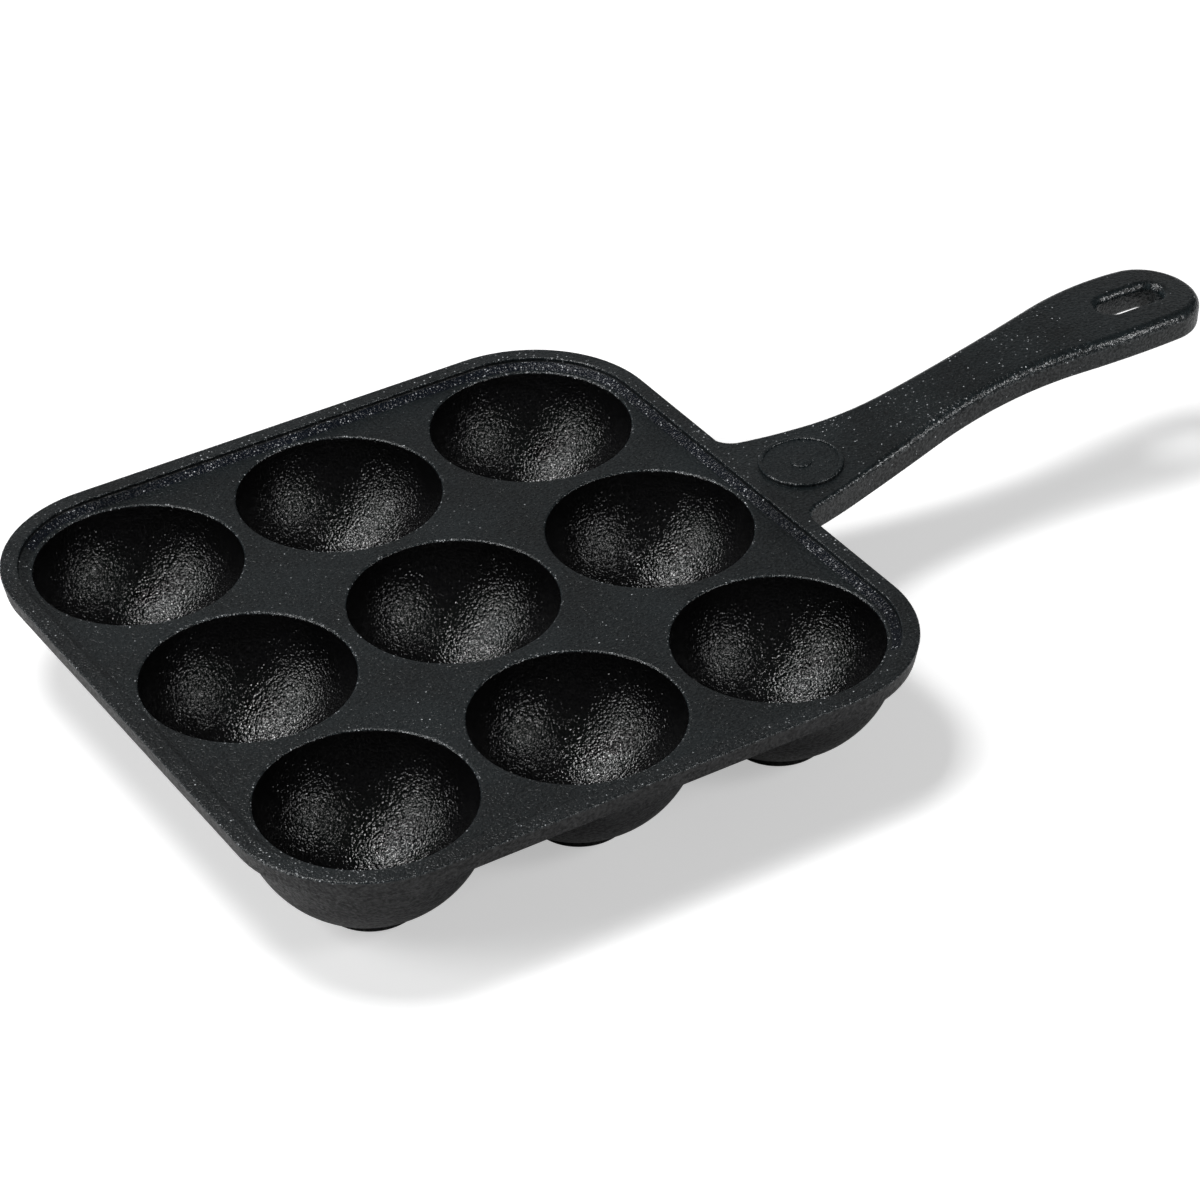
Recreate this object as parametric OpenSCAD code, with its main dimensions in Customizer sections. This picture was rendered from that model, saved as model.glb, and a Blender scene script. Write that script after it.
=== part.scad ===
// Cast-iron aebleskiver pan: a square plate with nine round wells and one flat handle.
// The origin is the centre of the plate on the surface that the feet stand on.
// +Z is up and the handle points along +X.

/* [Plate] */
// Distance between the centres of two neighbouring wells
well_pitch = 54; // [51:0.5:62]
// Height of the plate's top face above the surface that the pan stands on
deck_height = 28.6; // [27.6:0.1:36]
// Thickness of the plate
deck_t = 2.8; // [2:0.1:4.5]
// Width of the plate between the mouths of the outer wells and the rim
deck_margin = 3.3; // [2.6:0.1:8]

/* [Rim] */
// Width of the rim's flat top band
rim_w = 4.3; // [3:0.1:9]
// Height of the rim's top band above the plate
rim_rise = 2.3; // [1.4:0.1:6]
// Width of the ramp between the plate and the rim
ramp_w = 2.2; // [1:0.1:2.5]
// Height of the ramp; the rest of the rim's rise is an upright step
ramp_rise = 1.1; // [0.4:0.1:1.3]
// How far the rim's outer wall leans inward from top to bottom
rim_draft = 1; // [0.2:0.1:2]

/* [Wells] */
// Radius of the round hollow of each well
well_r = 24.8; // [22:0.1:25.2]
// Depth of the well's sphere centre below the plate's top face
well_drop = 0.3; // [0:0.1:1]
// Wall thickness of each bowl
well_wall = 3.2; // [2.4:0.1:3.4]
// Fillet between each bowl and the underside of the plate
bowl_fillet = 2.4; // [1:0.1:3]

/* [Feet] */
// Radius of the flat foot under each bowl
foot_r = 11.3; // [9.5:0.1:12.5]
// Radius of the rounded lower edge of each foot
foot_edge = 0.8; // [0.2:0.1:1.2]

/* [Handle] */
// Distance from the rim's outer edge to the tip of the handle
handle_len = 128.8; // [118:0.1:160]
// Thickness of the handle
handle_t = 7.4; // [5:0.1:9]
// How far the top of the handle climbs above the rim
handle_rise = 13.6; // [6:0.1:20]
// Distance from the rim's outer edge to the start of the climb
climb_start = 5; // [4.8:0.1:14]
// Radius of the hollow bend at the start of the climb
hollow_bend_r = 140; // [100:5:180]
// Radius of the crowned bend over the rest of the handle
crown_bend_r = 245; // [180:5:320]
// Half of the handle's width at its narrow waist
waist_half = 9.5; // [7.5:0.1:12]
// Distance from the rim's outer edge to the waist
waist_start = 55.8; // [50:0.1:62]
// Radius of the hollow sides at the waist
waist_r = 170; // [150:2:220]
// Radius of the round end
end_r = 13.7; // [12:0.1:16]
// Radius of the swelling sides that run into the round end
swell_r = 115; // [95:1:130]
// Angle between the handle's sides and its middle line at the root
root_flare = 13; // [11:0.1:14]
// Fillet between the handle's root and the rim
root_fillet = 5.5; // [2:0.1:7]
// Distance from the rim's outer edge to the end of the root
root_len = 21.6; // [19:0.2:30]
// Distance from the tip to the start of the handle's broad end
end_len = 40; // [36:0.5:48]

/* [Hanging slot] */
// Length of the slot
slot_len = 19; // [14:0.5:24]
// Width of the slot
slot_w = 7.3; // [5:0.1:13]
// Distance from the handle's tip to the middle of the slot
slot_back = 18.6; // [16:0.2:24]

/* [Medallion] */
// Radius of the plain round pad on the handle's root
medal_r = 10.4; // [6:0.1:11.5]
// Height of the pad above the handle
medal_h = 0.5; // [0.3:0.1:1.5]
// Distance from the rim's outer edge to the middle of the pad
medal_x = 11; // [11:0.1:12]
// Width of the raised ring round the pad
medal_ring_w = 1.2; // [0.6:0.1:2]
// Height of the raised ring and of the middle button above the pad
medal_ring_h = 0.4; // [0.2:0.1:1]
// Radius of the round button in the middle of the pad
medal_button_r = 2.6; // [1.5:0.1:4]

/* [Hidden] */
$fn = 96;
// Long bends are drawn as circles of this many sides
bend_fn = 720;
// Cuts run past the faces that they open by this much
past = 1;
// Neighbouring stretches of one outline overlap by this much
lap = 2;
// The wells lie in this many rows of as many wells
per_side = 3;

deck_bottom = deck_height - deck_t;
rim_top = deck_height + rim_rise;
// The plate's corners are round about the centres of the corner wells
deck_corner = well_r + deck_margin;
// Distance from the plate's centre to the middles of the outer rows
outer_row = well_pitch * (per_side - 1) / 2;
deck_half = outer_row + deck_corner;
rim_half = deck_half + rim_w;
well_z = deck_height - well_drop;
bowl_r = well_r + well_wall;
// The bowl's outer sphere is as wide as the foot at this height, where the foot takes over
foot_h = well_z - sqrt(bowl_r * bowl_r - foot_r * foot_r);

// Side view of the handle: the hollow bend runs into the crowned one
tip_x = rim_half + handle_len;
climb_x = rim_half + climb_start;
climb_angle = acos(1 - handle_rise / (hollow_bend_r + crown_bend_r));
bend_x = climb_x + hollow_bend_r * sin(climb_angle);
crown_x = bend_x + crown_bend_r * sin(climb_angle);
crown_z = rim_top + handle_rise;

// Top view of the handle: a swelling arc touches the waist's arc and the round end
end_x = tip_x - end_r;
waist_x = rim_half + waist_start;
waist_c = [waist_x, waist_half + waist_r];
end_gap = norm(waist_c - [end_x, 0]);
along = (pow(swell_r - end_r, 2) - pow(swell_r + waist_r, 2) + end_gap * end_gap) / (2 * end_gap);
across = sqrt(pow(swell_r - end_r, 2) - along * along);
toward = (waist_c - [end_x, 0]) / end_gap;
swell_c = [end_x, 0] + along * toward + across * [-toward[1], toward[0]];
swell_start = swell_c + (waist_c - swell_c) * swell_r / (swell_r + waist_r);
swell_end = swell_c + ([end_x, 0] - swell_c) * swell_r / (swell_r - end_r);

// The root's straight sides leave the waist's arc here
flare_x = waist_x - waist_r * sin(root_flare);
flare_half = waist_half + waist_r * (1 - cos(root_flare));
root_half = flare_half + (flare_x - rim_half) * tan(root_flare);
root_end = rim_half + root_len;
end_start = tip_x - end_len;

iron = [0.18, 0.20, 0.21];
iron_dark = [0.13, 0.14, 0.15];

// Middle of well n, counted along each row from the corner that is left and back
function well_at(n) = [
    (n - 1) % per_side * well_pitch - outer_row,
    outer_row - floor((n - 1) / per_side) * well_pitch
];

// Square with round corners, centred on the origin
module round_square(half, corner) {
    straight = half - corner;
    square([2 * half, 2 * straight], center = true);
    square([2 * straight, 2 * half], center = true);
    for (x = [-straight, straight], y = [-straight, straight])
        translate([x, y]) circle(r = corner);
}

// Flat plate between the rim and the bowls, with the upper bands of the nine wells cut into it
module deck_plate() {
    color(iron)
    difference() {
        translate([0, 0, deck_bottom])
            linear_extrude(deck_t) round_square(deck_half, deck_corner);
        for (n = [1 : per_side * per_side])
            translate([well_at(n)[0], well_at(n)[1], well_z]) sphere(r = well_r);
    }
}

// Section of the rim, with x measured outward from the plate's edge
module rim_section() {
    polygon([
        [0, deck_bottom],
        [rim_w - rim_draft, deck_bottom],
        [rim_w, rim_top],
        [0, rim_top],
        [0, deck_height + ramp_rise],
        [-ramp_w, deck_height],
        [0, deck_height]
    ]);
}

// Raised rim: four straight bars and four turned corners of one section
module rim() {
    color(iron)
    union() {
        for (side = [0 : 3]) {
            rotate([0, 0, 90 * side])
                translate([deck_half, outer_row, 0])
                    rotate([90, 0, 0]) linear_extrude(2 * outer_row) rim_section();
            rotate([0, 0, 90 * side])
                translate([outer_row, outer_row, 0])
                    rotate_extrude(angle = 90) translate([deck_corner, 0]) rim_section();
        }
    }
}

// Half section of one bowl below the plate, turned round its own axis
module bowl_section() {
    lip_r = sqrt(pow(bowl_r + bowl_fillet, 2) - pow(well_z - deck_bottom + bowl_fillet, 2));
    touch_r = lip_r * bowl_r / (bowl_r + bowl_fillet);
    difference() {
        union() {
            translate([0, well_z]) circle(r = bowl_r);
            difference() {
                translate([touch_r, deck_bottom - bowl_fillet])
                    square([lip_r - touch_r, bowl_fillet]);
                translate([lip_r, deck_bottom - bowl_fillet]) circle(r = bowl_fillet);
            }
        }
        translate([0, well_z]) circle(r = well_r);
        translate([-2 * bowl_r, deck_bottom]) square([4 * bowl_r, 2 * bowl_r]);
        translate([-2 * bowl_r, foot_h - 2 * bowl_r]) square([4 * bowl_r, 2 * bowl_r]);
        translate([-2 * bowl_r, -bowl_r]) square([2 * bowl_r, 3 * bowl_r]);
    }
}

// One bowl, cut off flat half way to each neighbour, where the walls run together
module well(n) {
    column = (n - 1) % per_side;
    row = floor((n - 1) / per_side);
    reach = bowl_r + bowl_fillet + past;
    left = column > 0 ? well_pitch / 2 : reach;
    right = column < per_side - 1 ? well_pitch / 2 : reach;
    back = row > 0 ? well_pitch / 2 : reach;
    front = row < per_side - 1 ? well_pitch / 2 : reach;
    color(iron_dark)
    translate([well_at(n)[0], well_at(n)[1], 0])
        intersection() {
            rotate_extrude() bowl_section();
            translate([-left, -front, 0]) cube([left + right, front + back, deck_height]);
        }
}

// Flat round foot under one bowl
module foot(n) {
    color(iron_dark)
    translate([well_at(n)[0], well_at(n)[1], 0])
        rotate_extrude() {
            square([foot_r - foot_edge, foot_h]);
            translate([0, foot_edge]) square([foot_r, foot_h - foot_edge]);
            translate([foot_r - foot_edge, foot_edge]) circle(r = foot_edge);
        }
}

// Side view of all that lies under a curve that runs this far below the handle's top, with y as
// height. The crowned stretch laps under the hollow one, which leaves the curve as it is.
module under(drop, grow = 0) {
    inner = rim_half - rim_draft - grow;
    outer = tip_x + grow;
    join_x = bend_x + drop * sin(climb_angle);
    difference() {
        translate([inner, -grow]) square([join_x - inner, crown_z + grow]);
        translate([inner - past, rim_top - drop]) square([climb_x - inner + past, crown_z]);
        translate([climb_x, rim_top + hollow_bend_r]) circle(r = hollow_bend_r + drop, $fn = bend_fn);
    }
    intersection() {
        translate([join_x - lap, -grow]) square([outer - join_x + lap, crown_z + grow - drop]);
        translate([crown_x, crown_z - crown_bend_r]) circle(r = crown_bend_r - drop, $fn = bend_fn);
    }
}

// Side view of the handle, whose inner end leans with the rim's outer wall
module handle_side() {
    inner = rim_half - rim_draft;
    difference() {
        under(0);
        under(handle_t, past);
        polygon([
            [inner - past, deck_bottom],
            [inner, deck_bottom],
            [rim_half, rim_top],
            [inner - past, rim_top + past]
        ]);
    }
}

// Fillet between the root's straight side and the rim
module root_corner() {
    side = [rim_half, root_half];
    c = [rim_half + root_fillet, root_half - root_fillet * tan(root_flare) + root_fillet / cos(root_flare)];
    touch = c - root_fillet * [sin(root_flare), cos(root_flare)];
    difference() {
        polygon([side, touch, c, [rim_half - rim_draft, c[1]], [rim_half - rim_draft, root_half]]);
        translate(c) circle(r = root_fillet);
    }
}

// Top view of the handle; its stretches lap over each other where that leaves the outline alone
module handle_top() {
    inner = rim_half - rim_draft;
    inner_half = root_half + rim_draft * tan(root_flare);
    lap_half = flare_half - lap * tan(root_flare);
    polygon([
        [inner, -inner_half],
        [flare_x + lap, -lap_half],
        [flare_x + lap, lap_half],
        [inner, inner_half]
    ]);
    for (m = [0, 1]) mirror([0, m]) root_corner();
    difference() {
        translate([flare_x, -waist_c[1]]) square([swell_start[0] - flare_x, 2 * waist_c[1]]);
        for (m = [0, 1]) mirror([0, m]) translate(waist_c) circle(r = waist_r, $fn = bend_fn);
    }
    intersection() {
        translate([swell_start[0] - lap, -swell_r]) square([swell_end[0] - swell_start[0] + lap, 2 * swell_r]);
        translate(swell_c) circle(r = swell_r, $fn = bend_fn);
        mirror([0, 1]) translate(swell_c) circle(r = swell_r, $fn = bend_fn);
    }
    translate([end_x, 0]) circle(r = end_r);
}

// Part of the handle between two distances from the plate's centre
module handle_part(from, to) {
    intersection() {
        linear_extrude(crown_z + past) handle_top();
        translate([0, 2 * root_half, 0])
            rotate([90, 0, 0])
                linear_extrude(4 * root_half)
                    intersection() {
                        handle_side();
                        translate([from, 0]) square([to - from, crown_z + past]);
                    }
    }
}

// Flared root of the handle, flush with the rim's top band
module handle_root() {
    color(iron) handle_part(rim_half - rim_draft, root_end);
}

// Slim middle of the handle
module handle_grip() {
    color(iron) handle_part(root_end, end_start);
}

// Broad round end of the handle with the hanging slot
module handle_end() {
    slot_x = tip_x - slot_back;
    slot_run = slot_len / 2 - slot_w / 2;
    color(iron)
    difference() {
        handle_part(end_start, tip_x + past);
        translate([slot_x, 0, 0])
            linear_extrude(crown_z + past) {
                square([2 * slot_run, slot_w], center = true);
                for (x = [-slot_run, slot_run])
                    translate([x, 0]) circle(d = slot_w);
            }
    }
}

// Side view of a layer that lies on the root and follows its top
module layer(height) {
    difference() {
        under(-height);
        under(0, past);
    }
}

// Round piece of such a layer
module layer_disc(height, radius) {
    intersection() {
        translate([rim_half + medal_x, 0, 0]) cylinder(r = radius, h = crown_z);
        translate([0, medal_r + past, 0])
            rotate([90, 0, 0]) linear_extrude(2 * (medal_r + past)) layer(height);
    }
}

// Plain round pad on the root: a ring round its edge and a button in its middle
module medallion() {
    top = medal_h + medal_ring_h;
    color(iron)
    union() {
        layer_disc(medal_h, medal_r);
        difference() {
            layer_disc(top, medal_r);
            translate([rim_half + medal_x, 0, 0]) cylinder(r = medal_r - medal_ring_w, h = crown_z + past);
        }
        layer_disc(top, medal_button_r);
    }
}

deck_plate();
rim();
for (n = [1 : per_side * per_side]) {
    well(n);
    foot(n);
}
handle_root();
handle_grip();
handle_end();
medallion();
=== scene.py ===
import math

import bmesh
import bpy
from mathutils import Matrix, Quaternion, Vector


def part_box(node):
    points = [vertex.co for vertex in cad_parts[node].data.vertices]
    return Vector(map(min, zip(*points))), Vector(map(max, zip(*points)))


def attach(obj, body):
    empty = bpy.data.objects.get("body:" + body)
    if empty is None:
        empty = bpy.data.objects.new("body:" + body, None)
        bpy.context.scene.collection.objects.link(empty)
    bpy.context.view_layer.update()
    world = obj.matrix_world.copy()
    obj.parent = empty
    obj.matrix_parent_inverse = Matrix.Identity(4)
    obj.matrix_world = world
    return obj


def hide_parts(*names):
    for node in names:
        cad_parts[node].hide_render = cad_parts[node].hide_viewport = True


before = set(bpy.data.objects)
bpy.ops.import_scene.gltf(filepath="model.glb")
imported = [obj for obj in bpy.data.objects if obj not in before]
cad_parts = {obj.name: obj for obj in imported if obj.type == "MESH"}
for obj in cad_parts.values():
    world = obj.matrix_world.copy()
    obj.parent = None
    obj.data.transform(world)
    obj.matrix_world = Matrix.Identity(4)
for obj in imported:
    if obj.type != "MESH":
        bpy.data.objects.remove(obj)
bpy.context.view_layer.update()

scene = bpy.context.scene

# Camera: a long lens in front of the pan's left near corner, looking down on it by about 35 degrees.
# The place, the aim and the slight roll were solved from the round mouths of the nine wells.
camera_place = Vector((-0.3870, -0.6954, 0.5827))
camera_aim = Vector((0.0282, -0.0188, 0.0286))
camera_roll = math.radians(-1.24)
lens_mm = 125.7
film_mm = 36
sight_start = 0.05
sight_end = 20
camera_data = bpy.data.cameras.new("camera")
camera_data.lens = lens_mm
camera_data.sensor_width = film_mm
camera_data.clip_start = sight_start
camera_data.clip_end = sight_end
camera = bpy.data.objects.new("camera", camera_data)
scene.collection.objects.link(camera)
camera.location = camera_place
camera.rotation_mode = "QUATERNION"
turn = (camera_aim - camera_place).to_track_quat("-Z", "Y")
camera.rotation_quaternion = turn @ Quaternion((0, 0, 1), camera_roll)
scene.camera = camera
scene.view_settings.view_transform = "Standard"

# Floor and light: a plain white sheet under soft boxes overhead, to the left, to the right and low
# behind the pan. The camera sees the sheet and the room as white, and the sheet keeps the shadow.
floor_half = 3
floor_white = 0.8
floor_lift = 0.45
room_grey = 0.06
box_distance = 1.3
# Each box has its bearing and height round the pan in degrees, its two sides in metres and its watts
boxes = {
    "top_box": ((135, 73), (0.38, 0.38), 10),
    "left_box": ((172, 38), (0.4, 0.7), 7),
    "right_box": ((-50, 31), (0.35, 0.4), 4.0),
    "back_box": ((65, 22.5), (1.8, 1.06), 1.22),
}

floor_shape = bmesh.new()
bmesh.ops.create_grid(floor_shape, x_segments=1, y_segments=1, size=floor_half)
floor_mesh = bpy.data.meshes.new("floor")
floor_shape.to_mesh(floor_mesh)
floor_shape.free()
floor = bpy.data.objects.new("floor", floor_mesh)
scene.collection.objects.link(floor)

sheet = bpy.data.materials.new("white_sheet")
sheet.use_nodes = True
nodes, links = sheet.node_tree.nodes, sheet.node_tree.links
nodes.clear()
matt = nodes.new("ShaderNodeBsdfDiffuse")
matt.inputs["Color"].default_value = (floor_white, floor_white, floor_white, 1)
glow = nodes.new("ShaderNodeEmission")
path = nodes.new("ShaderNodeLightPath")
lift = nodes.new("ShaderNodeMath")
lift.operation = "MULTIPLY"
lift.inputs[1].default_value = floor_lift
both = nodes.new("ShaderNodeAddShader")
out = nodes.new("ShaderNodeOutputMaterial")
links.new(path.outputs["Is Camera Ray"], lift.inputs[0])
links.new(lift.outputs[0], glow.inputs["Strength"])
links.new(matt.outputs[0], both.inputs[0])
links.new(glow.outputs[0], both.inputs[1])
links.new(both.outputs[0], out.inputs["Surface"])
floor_mesh.materials.append(sheet)

room = bpy.data.worlds.new("room")
room.use_nodes = True
scene.world = room
nodes, links = room.node_tree.nodes, room.node_tree.links
nodes.clear()
walls = nodes.new("ShaderNodeBackground")
path = nodes.new("ShaderNodeLightPath")
shade = nodes.new("ShaderNodeMapRange")
shade.inputs["To Min"].default_value = room_grey
shade.inputs["To Max"].default_value = 1
out = nodes.new("ShaderNodeOutputWorld")
links.new(path.outputs["Is Camera Ray"], shade.inputs["Value"])
links.new(shade.outputs["Result"], walls.inputs["Strength"])
links.new(walls.outputs[0], out.inputs["Surface"])

for name, ((bearing, height), sides, watts) in boxes.items():
    bearing, height = math.radians(bearing), math.radians(height)
    reach = box_distance * math.cos(height)
    place = (reach * math.cos(bearing), reach * math.sin(bearing), box_distance * math.sin(height))
    lamp_data = bpy.data.lights.new(name, "AREA")
    lamp_data.shape = "RECTANGLE"
    lamp_data.size, lamp_data.size_y = sides
    lamp_data.energy = watts
    lamp = bpy.data.objects.new(name, lamp_data)
    lamp.location = place
    lamp.rotation_mode = "QUATERNION"
    lamp.rotation_quaternion = (-Vector(place)).to_track_quat("-Z", "Y")
    scene.collection.objects.link(lamp)

# Deck: the flat plate of the casting, open where the nine wells come up through it. It is poured in
# sand in one piece with the rest and keeps a fine grain under its black seasoning.
well_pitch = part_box("foot_5")[0].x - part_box("foot_4")[0].x
columns = (-well_pitch, 0, well_pitch)
rows = (well_pitch, 0, -well_pitch)
well_places = [Vector((x, y, 0)) for y in rows for x in columns]
deck_bottom, deck_top = (corner.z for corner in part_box("deck_plate"))
deck_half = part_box("deck_plate")[1].x
deck_corner = deck_half - well_pitch
mouth_r = 0.0255
quarter_steps = 24
circle_steps = 4 * quarter_steps
z_axis = (0, 0, 1)
deck_colour = (0.0058, 0.0082, 0.0092)
# Points nearer to each other than this are one
touching = 1e-6


def cast_iron(name, colour, roughness, grain, depth, octaves, glint_flecks, gloss=0.4):
    """Black seasoned iron: a sandy grain of this size and depth, a cloudy tone, pale flecks that are
    painted glints, and wear that also paints a sheen.
    """
    noise_fade = 0.55
    cloud_size, cloud_octaves = 0.022, 4
    wave_size, wave_octaves, wave_depth = 0.004, 2, 0.00006
    # Painted glints: pale flecks in the colour that stand in for light caught by single facets; their size
    # and tone, where each fades out, how few are bright, and where they gather
    glint_size, glint_colour = 0.0005, (0.76, 0.79, 0.82)
    glint_edge, glint_contrast = (0.2, 0.45), 2
    gather_from, gather_to, worn_edge_glints = (0.36, 0.65), (0.1, 2.2), 0.07
    # Tone: shares of the colour in dark, light and worn iron, the worn one partly wear and partly painted
    # sheen, and the noise that mixes them
    dark_share, light_share, worn_sheen_share = 0.5, 1.6, 3
    cloudy = (0.75, 1.25)
    worn_sheen_from, worn_sheen_to = (0.4, 0.6), (0.1, 1)
    # Shine: how far the grain swings the roughness and the gloss, and what wear does to both
    rough_from, rough_swing, worn_polish = (0.3, 0.7), 0.08, 0.04
    gloss_from, gloss_swing = (0.35, 0.65), 0.4
    bare_from, bare_to = (0.42, 0.58), (0, 0.4)

    iron = bpy.data.materials.new(name)
    iron.use_nodes = True
    tree = iron.node_tree
    tree.nodes.clear()
    spot = tree.nodes.new("ShaderNodeTexCoord").outputs["Object"]

    def noise(size, detail):
        node = tree.nodes.new("ShaderNodeTexNoise")
        node.inputs["Scale"].default_value = 1 / size
        node.inputs["Detail"].default_value = detail
        node.inputs["Roughness"].default_value = noise_fade
        tree.links.new(spot, node.inputs["Vector"])
        return node.outputs["Fac"]

    def cells(size):
        node = tree.nodes.new("ShaderNodeTexVoronoi")
        node.inputs["Scale"].default_value = 1 / size
        tree.links.new(spot, node.inputs["Vector"])
        draw = tree.nodes.new("ShaderNodeSeparateColor")
        tree.links.new(node.outputs["Color"], draw.inputs[0])
        return node.outputs["Distance"], draw.outputs["Red"], draw.outputs["Green"]

    def stretch(value, given, wanted):
        node = tree.nodes.new("ShaderNodeMapRange")
        node.inputs["From Min"].default_value, node.inputs["From Max"].default_value = given
        node.inputs["To Min"].default_value, node.inputs["To Max"].default_value = wanted
        tree.links.new(value, node.inputs["Value"])
        return node.outputs["Result"]

    def combine(kind, first, second):
        node = tree.nodes.new("ShaderNodeMath")
        node.operation = kind
        for socket, value in zip(node.inputs, (first, second)):
            if isinstance(value, (int, float)):
                socket.default_value = value
            else:
                tree.links.new(value, socket)
        return node.outputs[0]

    def blend(factor, first, second):
        node = tree.nodes.new("ShaderNodeMix")
        node.data_type = "RGBA"
        tree.links.new(factor, node.inputs[0])
        for socket, value in zip(node.inputs[6:8], (first, second)):
            if isinstance(value, tuple):
                socket.default_value = (*value, 1)
            else:
                tree.links.new(value, socket)
        return node.outputs[2]

    def bump(height, distance, below=None):
        node = tree.nodes.new("ShaderNodeBump")
        node.inputs["Distance"].default_value = distance
        tree.links.new(height, node.inputs["Height"])
        if below:
            tree.links.new(below, node.inputs["Normal"])
        return node.outputs["Normal"]

    worn_sheen = tree.nodes.new("ShaderNodeAttribute")
    worn_sheen.attribute_name = "worn_sheen"
    wear_and_sheen = worn_sheen.outputs["Fac"]
    cloud = noise(cloud_size, cloud_octaves)
    sand = noise(grain, octaves)

    # Painted glints: a few cells become pale dots in the colour, more of them on worn edges
    near, chance, brightness = cells(glint_size)
    gathered_glints = combine("MULTIPLY", stretch(cloud, gather_from, gather_to), glint_flecks)
    glint_share = combine("ADD", gathered_glints, combine("MULTIPLY", wear_and_sheen, worn_edge_glints))
    glinting = combine("GREATER_THAN", chance, combine("SUBTRACT", 1, glint_share))
    glint_dot = combine("MULTIPLY", stretch(near, glint_edge, (1, 0)), glinting)
    glint = combine("MULTIPLY", glint_dot, combine("POWER", brightness, glint_contrast))

    dark = tuple(c * dark_share for c in colour)
    light = tuple(c * light_share for c in colour)
    bare_and_sheen = tuple(c * worn_sheen_share for c in colour)
    tone = blend(stretch(combine("ADD", cloud, sand), cloudy, (0, 1)), dark, light)
    # Worn places are lightened: partly rubbed wear, partly a painted sheen on roundings that catch the
    # light
    tone = blend(combine("MULTIPLY", wear_and_sheen, stretch(sand, worn_sheen_from, worn_sheen_to)), tone, bare_and_sheen)
    tone = blend(glint, tone, glint_colour)

    shine = stretch(sand, rough_from, (roughness + rough_swing, roughness - rough_swing))
    shine = combine("SUBTRACT", shine, combine("MULTIPLY", wear_and_sheen, worn_polish))
    mirror = stretch(sand, gloss_from, ((1 - gloss_swing) * gloss, (1 + gloss_swing) * gloss))
    mirror = combine("ADD", combine("MULTIPLY", wear_and_sheen, stretch(sand, bare_from, bare_to)), mirror)
    uneven = bump(noise(wave_size, wave_octaves), wave_depth)
    sandy = bump(sand, depth, uneven)

    skin = tree.nodes.new("ShaderNodeBsdfPrincipled")
    skin.inputs["Specular IOR Level"].default_value = gloss
    tree.links.new(tone, skin.inputs["Base Color"])
    tree.links.new(shine, skin.inputs["Roughness"])
    tree.links.new(mirror, skin.inputs["Specular IOR Level"])
    tree.links.new(sandy, skin.inputs["Normal"])
    out = tree.nodes.new("ShaderNodeOutputMaterial")
    tree.links.new(skin.outputs[0], out.inputs["Surface"])
    return iron


def cast_piece(shape, name, *irons):
    """Makes an object of a closed shape: crisp edges stay crisp, and rounded edges count as worn, a mark
    that also paints a sheen.
    """
    crisp = math.radians(38)
    flat_turn, round_turn = math.radians(7), math.radians(14)
    # Roundings that lean further from flat and don't face down are marked worn; the mark lightens them as
    # wear and as a painted sheen
    upper_lean, lower_lean, lowest_lean = 0.94, 0.74, 0.1
    bmesh.ops.remove_doubles(shape, verts=shape.verts[:], dist=touching)
    bmesh.ops.recalc_face_normals(shape, faces=shape.faces[:])
    worn_sheen = shape.verts.layers.float.new("worn_sheen")
    shape.normal_update()
    for edge in shape.edges:
        edge.smooth = edge.calc_face_angle(0) < crisp
    for vert in shape.verts:
        turns = [edge.calc_face_angle_signed(0) for edge in vert.link_edges]
        turn = max((t for t in turns if t < crisp), default=0)
        rounded = min(1, max(0, (turn - flat_turn) / (round_turn - flat_turn)))
        leaning = min(1, max(0, (upper_lean - vert.normal.z) / (upper_lean - lower_lean)))
        if vert.normal.z > lowest_lean:
            vert[worn_sheen] = rounded * leaning
    for face in shape.faces:
        face.smooth = True
    mesh = bpy.data.meshes.new(name)
    shape.to_mesh(mesh)
    shape.free()
    for iron in irons:
        mesh.materials.append(iron)
    piece = bpy.data.objects.new(name, mesh)
    scene.collection.objects.link(piece)
    evened = piece.modifiers.new("even_flats", "WEIGHTED_NORMAL")
    evened.keep_sharp = True
    return piece


deck = bmesh.new()
bmesh.ops.create_grid(deck, x_segments=1, y_segments=1, size=deck_half)
bmesh.ops.bevel(
    deck,
    geom=deck.verts[:],
    offset=deck_corner,
    segments=quarter_steps,
    profile=0.5,
    affect="VERTICES",
    material=-1,
)
bmesh.ops.delete(deck, geom=deck.faces[:], context="FACES_ONLY")
for place in well_places:
    at = Matrix.Translation(place)
    bmesh.ops.create_circle(deck, segments=circle_steps, radius=mouth_r, matrix=at)
bmesh.ops.triangle_fill(deck, use_beauty=True, edges=deck.edges[:], normal=z_axis)
bmesh.ops.translate(deck, verts=deck.verts[:], vec=(0, 0, deck_top))
lowered = bmesh.ops.extrude_face_region(deck, geom=deck.faces[:], use_keep_orig=True)
underside = [v for v in lowered["geom"] if isinstance(v, bmesh.types.BMVert)]
bmesh.ops.translate(deck, verts=underside, vec=(0, 0, deck_bottom - deck_top))
deck_iron = cast_iron(
    "deck_iron", deck_colour, roughness=0.31, grain=0.0007, depth=0.0003, octaves=2, glint_flecks=0.006
)
deck_plate = cast_piece(deck, "deck_plate", deck_iron)
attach(deck_plate, "root")
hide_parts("deck_plate")

# Rim: the raised border of the casting, with a ramp and an upright step inside, a flat band on top
# and a wall that leans inward, so that the pattern draws from the sand. Its ramp is rough on the
# handle's side and the far side.
rim_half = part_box("rim")[1].x
rim_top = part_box("rim")[1].z
ramp_w = 0.0022
ramp_rise = 0.0011
ramp_top = deck_top + ramp_rise
rim_draft = 0.0010
wall_round = 0.0006
step_round = 0.0004
ramp_round = 0.0003
round_steps = 6
quarter = math.pi / 2
rim_colour = (0.0062, 0.0082, 0.0092)
ramp_colour = (0.0042, 0.0058, 0.0092)
skin_colour = (0.0080, 0.0082, 0.0088)

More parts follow.
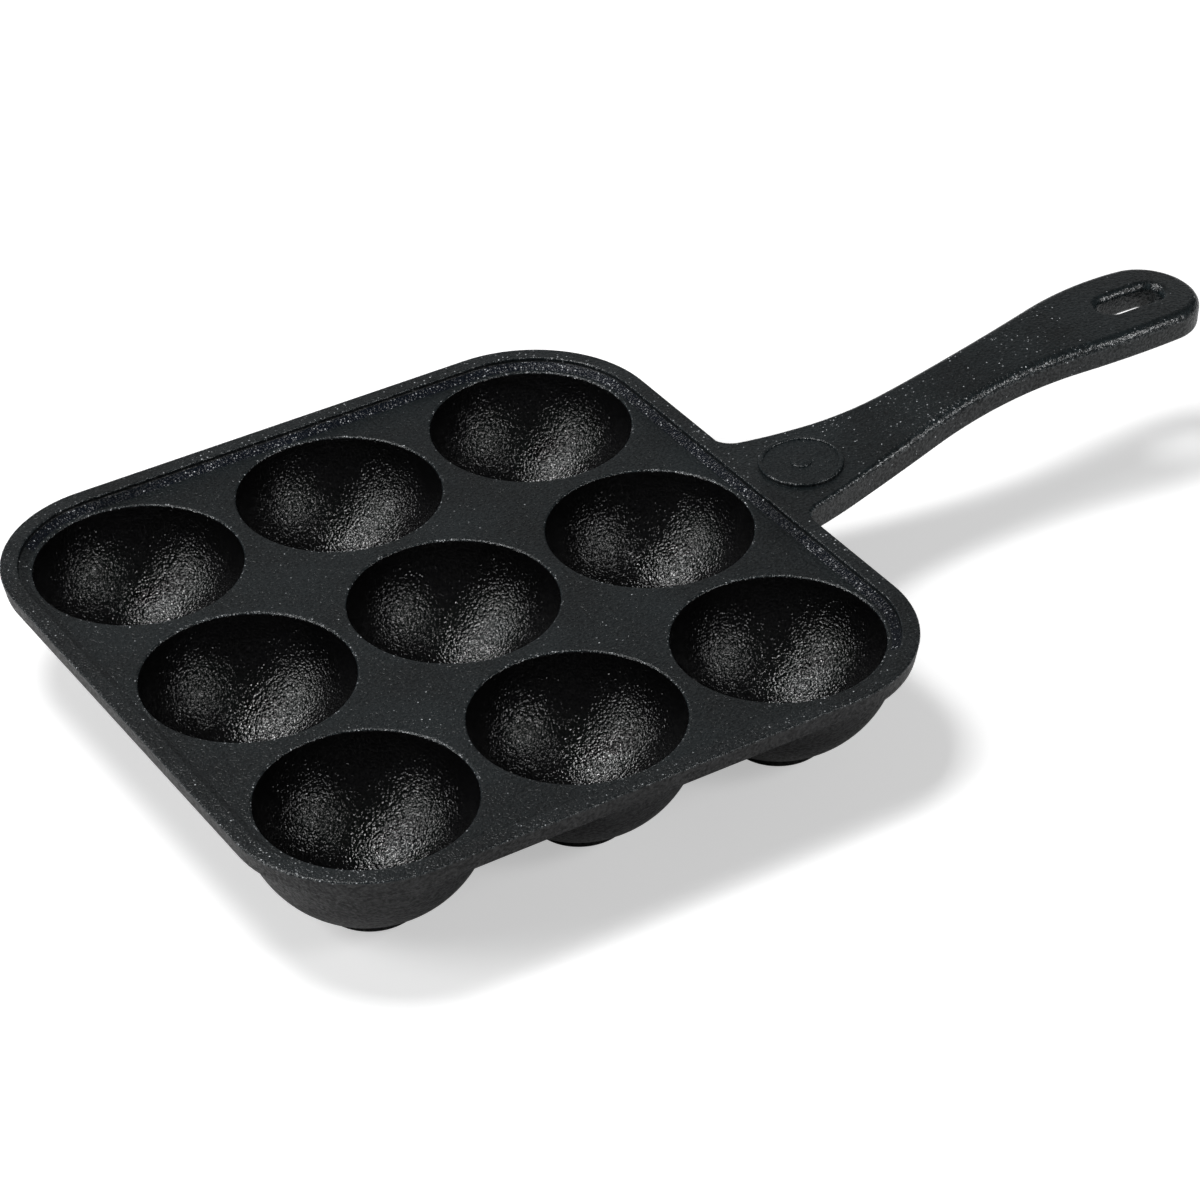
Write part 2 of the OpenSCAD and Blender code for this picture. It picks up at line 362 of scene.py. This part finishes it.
rim = bmesh.new()
corners = [
    (deck_half, deck_bottom),
    (rim_half - rim_draft, deck_bottom),
    (rim_half, rim_top),
    (deck_half, rim_top),
    (deck_half, ramp_top),
    (deck_half - ramp_w, deck_top),
    (deck_half, deck_top),
]
corner_rounds = (0, wall_round, wall_round, step_round, ramp_round, 0, 0)
verts = [rim.verts.new((x, -well_pitch, z)) for x, z in corners]
rim.faces.new(verts)
for vert, corner_round in zip(verts, corner_rounds):
    if corner_round > 0:
        bmesh.ops.bevel(
            rim,
            geom=[vert],
            offset=corner_round,
            segments=round_steps,
            profile=0.5,
            affect="VERTICES",
            material=-1,
        )
bmesh.ops.delete(rim, geom=rim.faces[:], context="FACES_ONLY")

# The section is drawn along each side in turn and swung round the corner after it
section = rim.edges[:]
for side in range(4):
    toward = Quaternion(z_axis, side * quarter)
    drawn = bmesh.ops.extrude_edge_only(rim, edges=section)["geom"]
    ends = [v for v in drawn if isinstance(v, bmesh.types.BMVert)]
    bmesh.ops.translate(rim, verts=ends, vec=toward @ Vector((0, 2 * well_pitch, 0)))
    section = [e for e in drawn if isinstance(e, bmesh.types.BMEdge)]
    centre = toward @ Vector((well_pitch, well_pitch, 0))
    swung = bmesh.ops.spin(
        rim, geom=ends + section, cent=centre, axis=z_axis, angle=quarter, steps=quarter_steps
    )
    section = [e for e in swung["geom_last"] if isinstance(e, bmesh.types.BMEdge)]
rim.normal_update()
bmesh.ops.recalc_face_normals(rim, faces=rim.faces[:])

# Low faces that lean back far enough are ramp, and steep ones below the band's rounding are wall
ramp_lean = 0.5
wall_lean = 0.3
band_depth = 0.0007
for face in rim.faces:
    height = face.calc_center_median().z
    rough_side = face.normal.x + face.normal.y < 0
    if face.normal.z > ramp_lean and height < ramp_top and rough_side:
        face.material_index = 1
    elif face.normal.z < wall_lean and height < rim_top - band_depth:
        face.material_index = 2
rim_iron = cast_iron(
    "rim_iron", rim_colour, roughness=0.31, grain=0.0007, depth=0.00034, octaves=2, glint_flecks=0.06
)
# The ramp carries many painted glints
ramp_iron = cast_iron(
    "ramp_iron", ramp_colour, roughness=0.22, grain=0.0006, depth=0.0004, octaves=1, glint_flecks=0.2, gloss=0.19
)
wall_iron = cast_iron(
    "wall_iron", skin_colour, roughness=0.45, grain=0.0008, depth=0.0003, octaves=2, glint_flecks=0, gloss=0.33
)
rim_piece = cast_piece(rim, "rim", rim_iron, ramp_iron, wall_iron)
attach(rim_piece, "root")
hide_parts("rim")

# Wells: nine round bowls of thin iron, turned on the same pattern. The hollow keeps a coarse sandy
# grain that sparkles, its mouth is rounded, and a fillet joins each bowl to the plate above.
well_r = 0.0248
well_drop = 0.0003
bowl_r = 0.0280
bowl_fillet = 0.0026
mouth_round = 0.0006
well_z = deck_top - well_drop
foot_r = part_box("foot_5")[1].x
foot_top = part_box("foot_5")[1].z
hollow_steps, mouth_steps, fillet_steps, skin_steps = 40, 6, 10, 24
y_axis = (0, 1, 0)
# The hollow's black iron is painted darker than the deck, as painted shade inside the well
hollow_shade_colour = (0.0028, 0.0028, 0.0030)
sand_iron = cast_iron(
    "sand_iron", hollow_shade_colour, roughness=0.12, grain=0.0006, depth=0.00032, octaves=1, glint_flecks=0, gloss=0.5
)
# The mouth's rounding carries many painted glints
mouth_iron = cast_iron(
    "mouth_iron", deck_colour, roughness=0.31, grain=0.0006, depth=0.0003, octaves=2, glint_flecks=0.3
)
skin_iron = cast_iron(
    "skin_iron", skin_colour, roughness=0.45, grain=0.0008, depth=0.0003, octaves=2, glint_flecks=0
)


def straight(shape, start, end):
    """Carries a wire on from its last point straight to another, and gives its new end."""
    last = shape.verts.new(end)
    shape.edges.new((start, last))
    return last


def arc(shape, start, centre, axis, angle, steps):
    """Carries a wire on from its last point along an arc, and gives its new end."""
    swept = bmesh.ops.spin(shape, geom=[start], cent=centre, axis=axis, angle=angle, steps=steps)
    return swept["geom_last"][0]


def turned(wire):
    """Turns a wire that starts and ends on the Z axis into a closed round shape."""
    bmesh.ops.spin(
        wire,
        geom=wire.verts[:] + wire.edges[:],
        cent=(0, 0, 0),
        axis=z_axis,
        angle=4 * quarter,
        steps=circle_steps,
        use_merge=True,
    )
    bmesh.ops.remove_doubles(wire, verts=wire.verts[:], dist=touching)


# A bowl's section: the hollow, its rounded mouth, the seat in the plate, the fillet, the outer skin
dip = math.asin((mouth_round - well_drop) / (well_r + mouth_round))
round_x = (well_r + mouth_round) * math.cos(dip)
lip_z = deck_bottom - bowl_fillet
lip_x = math.sqrt((bowl_r + bowl_fillet) ** 2 - (well_z - lip_z) ** 2)
fall = math.atan2(well_z - lip_z, lip_x)
bottom_angle = math.acos(foot_r / bowl_r)
well_middle = Vector((0, 0, well_z))
hollow_reach = well_r + mouth_round / 10
sideways = (Vector((1, 0, 0)), Vector((-1, 0, 0)), Vector((0, 1, 0)), Vector((0, -1, 0)))
for number, place in enumerate(well_places, start=1):
    name = f"well_{number}"
    bowl = bmesh.new()
    point = bowl.verts.new((0, 0, well_z - well_r))
    point = arc(bowl, point, well_middle, y_axis, dip - quarter, hollow_steps)
    point = arc(bowl, point, (round_x, 0, deck_top - mouth_round), y_axis, quarter - dip, mouth_steps)
    point = straight(bowl, point, (mouth_r, 0, deck_top))
    point = straight(bowl, point, (mouth_r, 0, deck_bottom))
    point = straight(bowl, point, (lip_x, 0, deck_bottom))
    point = arc(bowl, point, (lip_x, 0, lip_z), y_axis, fall - quarter, fillet_steps)
    point = arc(bowl, point, well_middle, y_axis, bottom_angle - fall, skin_steps)
    point = straight(bowl, point, (0, 0, foot_top))
    turned(bowl)
    for face in bowl.faces:
        centre = face.calc_center_median()
        if (centre - well_middle).length < hollow_reach:
            face.material_index = 0
        elif centre.z > deck_bottom:
            face.material_index = 1
        else:
            face.material_index = 2
    for side in sideways:
        neighbour = place + side * well_pitch
        if neighbour in well_places:
            everything = bowl.verts[:] + bowl.edges[:] + bowl.faces[:]
            bmesh.ops.bisect_plane(
                bowl, geom=everything, plane_co=side * well_pitch / 2, plane_no=side, clear_outer=True
            )
            open_edges = [e for e in bowl.edges if e.is_boundary]
            bmesh.ops.holes_fill(bowl, edges=open_edges, sides=0)
    bmesh.ops.translate(bowl, verts=bowl.verts[:], vec=place)
    well = cast_piece(bowl, name, sand_iron, mouth_iron, skin_iron)
    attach(well, "root")
    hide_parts(name)

# Feet: a low round pad under each bowl that the pan stands on, ground flat, its black iron painted darker
# still as painted shade under the pan, with a rounded lower edge and a small fillet up to the bowl.
foot_edge = 0.0008
foot_fillet = 0.0016
foot_edge_steps, foot_fillet_steps = 5, 6
foot_shade_colour = (0.0020, 0.0021, 0.0022)
foot_iron = cast_iron(
    "foot_iron", foot_shade_colour, roughness=0.6, grain=0.0008, depth=0.0001, octaves=2, glint_flecks=0
)
foot_fillet_x = foot_r + foot_fillet
foot_fillet_z = well_z - math.sqrt((bowl_r + foot_fillet) ** 2 - foot_fillet_x**2)
foot_fillet_turn = math.acos(foot_fillet_x / (bowl_r + foot_fillet))
for number, place in enumerate(well_places, start=1):
    name = f"foot_{number}"
    sole = bmesh.new()
    point = sole.verts.new((0, 0, 0))
    point = straight(sole, point, (foot_r - foot_edge, 0, 0))
    point = arc(sole, point, (foot_r - foot_edge, 0, foot_edge), y_axis, -quarter, foot_edge_steps)
    point = straight(sole, point, (foot_r, 0, foot_fillet_z))
    point = arc(
        sole, point, (foot_fillet_x, 0, foot_fillet_z), y_axis, foot_fillet_turn, foot_fillet_steps
    )
    point = straight(sole, point, (foot_r, 0, foot_top))
    point = straight(sole, point, (0, 0, foot_top))
    turned(sole)
    for face in sole.faces:
        face.material_index = 1 if face.calc_center_median().z > foot_fillet_z else 0
    bmesh.ops.translate(sole, verts=sole.verts[:], vec=place)
    foot = cast_piece(sole, name, foot_iron, skin_iron)
    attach(foot, "root")
    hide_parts(name)

# Handle: one flat bar, cast with the pan in a single pour. It flares into the rim, climbs in a hollow
# bend, narrows to a waist and ends broad and round, with a slot to hang it by. Its edges are rounded.
handle_t = 0.0074
tip_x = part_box("handle_end")[1].x
root_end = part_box("handle_root")[1].x
end_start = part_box("handle_end")[0].x
# Its top lies proud of the rim's band by a hair, and its highest place stays under the frame's
proud = 0.00001
headroom = 0.00003
handle_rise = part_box("handle_end")[1].z - rim_top - headroom
climb_start = 0.0050
hollow_bend_r = 0.140
crown_bend_r = 0.245
waist_start = 0.0558
waist_half = 0.0095
waist_r = 0.170
swell_r = 0.115
end_r = 0.0137
root_flare = math.radians(13)
root_fillet = 0.0055
root_sink = 0.0009
slot_r = 0.00365
slot_run = 0.00585
slot_inset = 0.0186
root_round, top_round, under_round, slot_round = 0.0012, 0.0027, 0.0012, 0.0020
growth_start, growth_end = 0.020, 0.048
root_steps, waist_steps, swell_steps, end_steps, slot_steps = 8, 24, 16, 20, 12
bend_step = 0.0015
handle_colour = (0.0058, 0.0082, 0.0092)
# The handle's painted glints are thickest on the grip
handle_glint_flecks = {"handle_root": 0.02, "handle_grip": 0.06, "handle_end": 0.01}

# Side view: the hollow bend runs into the crowned one
climb = math.acos(1 - handle_rise / (hollow_bend_r + crown_bend_r))
climb_x = rim_half + climb_start
bend_x = climb_x + hollow_bend_r * math.sin(climb)
crown_x = bend_x + crown_bend_r * math.sin(climb)


def climbed(spot):
    """Where a spot of the flat bar comes to lie: x along the bar, z measured up from its top face."""
    if spot.x < climb_x:
        top, up = Vector((spot.x, 0, rim_top)), Vector((0, 0, 1))
    elif spot.x < bend_x:
        slope = math.asin((spot.x - climb_x) / hollow_bend_r)
        up = Vector((-math.sin(slope), 0, math.cos(slope)))
        top = Vector((climb_x, 0, rim_top + hollow_bend_r)) - hollow_bend_r * up
    else:
        slope = math.asin((spot.x - crown_x) / crown_bend_r)
        up = Vector((math.sin(slope), 0, math.cos(slope)))
        top = Vector((crown_x, 0, rim_top + handle_rise - crown_bend_r)) + crown_bend_r * up
    return Vector((0, spot.y, 0)) + top + (spot.z + proud) * up


# Top view of one half: a swelling arc touches the waist's arc and the round end
end_middle = Vector((tip_x - end_r, 0, 0))
waist_middle = Vector((rim_half + waist_start, waist_half + waist_r, 0))
apart = (waist_middle - end_middle).length
along = ((swell_r - end_r) ** 2 - (swell_r + waist_r) ** 2 + apart**2) / (2 * apart)
across = math.sqrt((swell_r - end_r) ** 2 - along**2)
toward = (waist_middle - end_middle) / apart
swell_middle = end_middle + along * toward + across * Vector((-toward.y, toward.x, 0))
to_waist = waist_middle - swell_middle
to_end = end_middle - swell_middle
waist_lean = math.atan2(-to_waist.x, to_waist.y)
end_lean = math.atan2(to_end.x, to_end.y)
flare_point = waist_middle - waist_r * Vector((math.sin(root_flare), math.cos(root_flare), 0))
root_fillet_x = rim_half + root_fillet
flare_y = flare_point.y + (flare_point.x - root_fillet_x) * math.tan(root_flare)
root_fillet_middle = Vector((root_fillet_x, flare_y + root_fillet / math.cos(root_flare), 0))
bar_start = rim_half - root_sink
slot_x = tip_x - slot_inset

bar = bmesh.new()
first = bar.verts.new((bar_start, 0, 0))
point = straight(bar, first, (bar_start, root_fillet_middle.y, 0))
point = straight(bar, point, (rim_half, root_fillet_middle.y, 0))
point = arc(bar, point, root_fillet_middle, z_axis, quarter - root_flare, root_steps)
point = straight(bar, point, flare_point)
point = arc(bar, point, waist_middle, z_axis, root_flare + waist_lean, waist_steps)
point = arc(bar, point, swell_middle, z_axis, -waist_lean - end_lean, swell_steps)
point = arc(bar, point, end_middle, z_axis, end_lean - quarter, end_steps)
point = straight(bar, point, (slot_x + slot_run + slot_r, 0, 0))
point = arc(bar, point, (slot_x + slot_run, 0, 0), z_axis, quarter, slot_steps)
point = straight(bar, point, (slot_x - slot_run, slot_r, 0))
point = arc(bar, point, (slot_x - slot_run, 0, 0), z_axis, quarter, slot_steps)
bar.edges.new((point, first))
bmesh.ops.remove_doubles(bar, verts=bar.verts[:], dist=touching)
bmesh.ops.contextual_create(bar, geom=bar.verts[:] + bar.edges[:])
lowered = bmesh.ops.extrude_face_region(bar, geom=bar.faces[:], use_keep_orig=True)
underside = [v for v in lowered["geom"] if isinstance(v, bmesh.types.BMVert)]
bmesh.ops.translate(bar, verts=underside, vec=(0, 0, -handle_t))
middle_walls = [f for f in bar.faces if all(abs(v.co.y) < touching for v in f.verts)]
bmesh.ops.delete(bar, geom=middle_walls, context="FACES")
everything = bar.verts[:] + bar.edges[:] + bar.faces[:]
bmesh.ops.mirror(bar, geom=everything, matrix=Matrix.Identity(4), merge_dist=touching, axis="Y")
bmesh.ops.recalc_face_normals(bar, faces=bar.faces[:])

# Every long edge is rounded in one go, and the top's rounding grows from the root to the grip
sharp_turn = math.radians(60)
slot_reach = slot_run + slot_r + touching
weight = bar.edges.layers.float.new("bevel_weight_edge")
for edge in bar.edges:
    start, end = (vert.co for vert in edge.verts)
    middle = (start + end) / 2
    level = abs(start.z - end.z) < touching
    free = middle.x > bar_start + touching
    if level and free and edge.calc_face_angle(0) > sharp_turn:
        if abs(middle.x - slot_x) < slot_reach and abs(middle.y) < slot_r + touching:
            edge_round = slot_round
        elif middle.z > -touching:
            grown = (middle.x - rim_half - growth_start) / (growth_end - growth_start)
            edge_round = root_round + min(1, max(0, grown)) * (top_round - root_round)
        else:
            edge_round = under_round
        edge[weight] = edge_round / top_round
sharp_mesh = bpy.data.meshes.new("bar")
bar.to_mesh(sharp_mesh)
sharp_bar = bpy.data.objects.new("bar", sharp_mesh)
scene.collection.objects.link(sharp_bar)
rounding = sharp_bar.modifiers.new("rounding", "BEVEL")
rounding.limit_method = "WEIGHT"
rounding.width = top_round
rounding.segments = round_steps
rounding.use_clamp_overlap = False
bar.clear()
bar.from_object(sharp_bar, bpy.context.evaluated_depsgraph_get())
bpy.data.objects.remove(sharp_bar)

# Cuts across the bar let it bend, and it is parted into its three stretches
bend_count = int((tip_x - rim_half) / bend_step)
for bend in range(bend_count):
    everything = bar.verts[:] + bar.edges[:] + bar.faces[:]
    cut = Vector((rim_half + bend * bend_step, 0, 0))
    bmesh.ops.bisect_plane(bar, geom=everything, plane_co=cut, plane_no=(1, 0, 0))
stretches = {
    "handle_root": (bar_start - bend_step, root_end),
    "handle_grip": (root_end, end_start),
    "handle_end": (end_start, tip_x + bend_step),
}
for name, (near, far) in stretches.items():
    part = bar.copy()
    for x, away in ((near, -1), (far, 1)):
        everything = part.verts[:] + part.edges[:] + part.faces[:]
        bmesh.ops.bisect_plane(
            part, geom=everything, plane_co=(x, 0, 0), plane_no=(away, 0, 0), clear_outer=True
        )
        open_edges = [e for e in part.edges if e.is_boundary]
        bmesh.ops.holes_fill(part, edges=open_edges, sides=0)
    for vert in part.verts:
        vert.co = climbed(vert.co)
    handle_iron = cast_iron(
        f"{name}_iron",
        handle_colour,
        roughness=0.28,
        grain=0.0007,
        depth=0.0002,
        octaves=2,
        glint_flecks=handle_glint_flecks[name],
        gloss=0.46,
    )
    handle_piece = cast_piece(part, name, handle_iron)
    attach(handle_piece, "root")
    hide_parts(name)
bar.free()

# Medallion: a plain low round pad cast on the root, with a raised ring round it and a round button
# in its middle. It follows the handle's climb.
medal_start = 0.0110
medal_r = 0.0104
medal_h = 0.0005
medal_sunk = 0.0003
medal_round = 0.00038
medal_steps = 4
ring_w = 0.0012
ring_h = 0.0004
button_r = 0.0026
ring_top = medal_h + ring_h
ring_inside = medal_r - ring_w
round_z = ring_top - medal_round
medal = bmesh.new()
point = medal.verts.new((0, 0, -medal_sunk))
point = straight(medal, point, (medal_r, 0, -medal_sunk))
point = straight(medal, point, (medal_r, 0, round_z))
point = arc(medal, point, (medal_r - medal_round, 0, round_z), y_axis, -quarter, medal_steps)
point = straight(medal, point, (ring_inside + medal_round, 0, ring_top))
point = arc(medal, point, (ring_inside + medal_round, 0, round_z), y_axis, -quarter, medal_steps)
point = straight(medal, point, (ring_inside, 0, medal_h))
point = straight(medal, point, (button_r, 0, medal_h))
point = straight(medal, point, (button_r, 0, round_z))
point = arc(medal, point, (button_r - medal_round, 0, round_z), y_axis, -quarter, medal_steps)
point = straight(medal, point, (0, 0, ring_top))
turned(medal)
for vert in medal.verts:
    vert.co = climbed(vert.co + Vector((rim_half + medal_start, 0, 0)))
medal_iron = cast_iron(
    "medal_iron", handle_colour, roughness=0.31, grain=0.0007, depth=0.0003, octaves=2, glint_flecks=0
)
medallion = cast_piece(medal, "medallion", medal_iron)
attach(medallion, "root")
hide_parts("medallion")
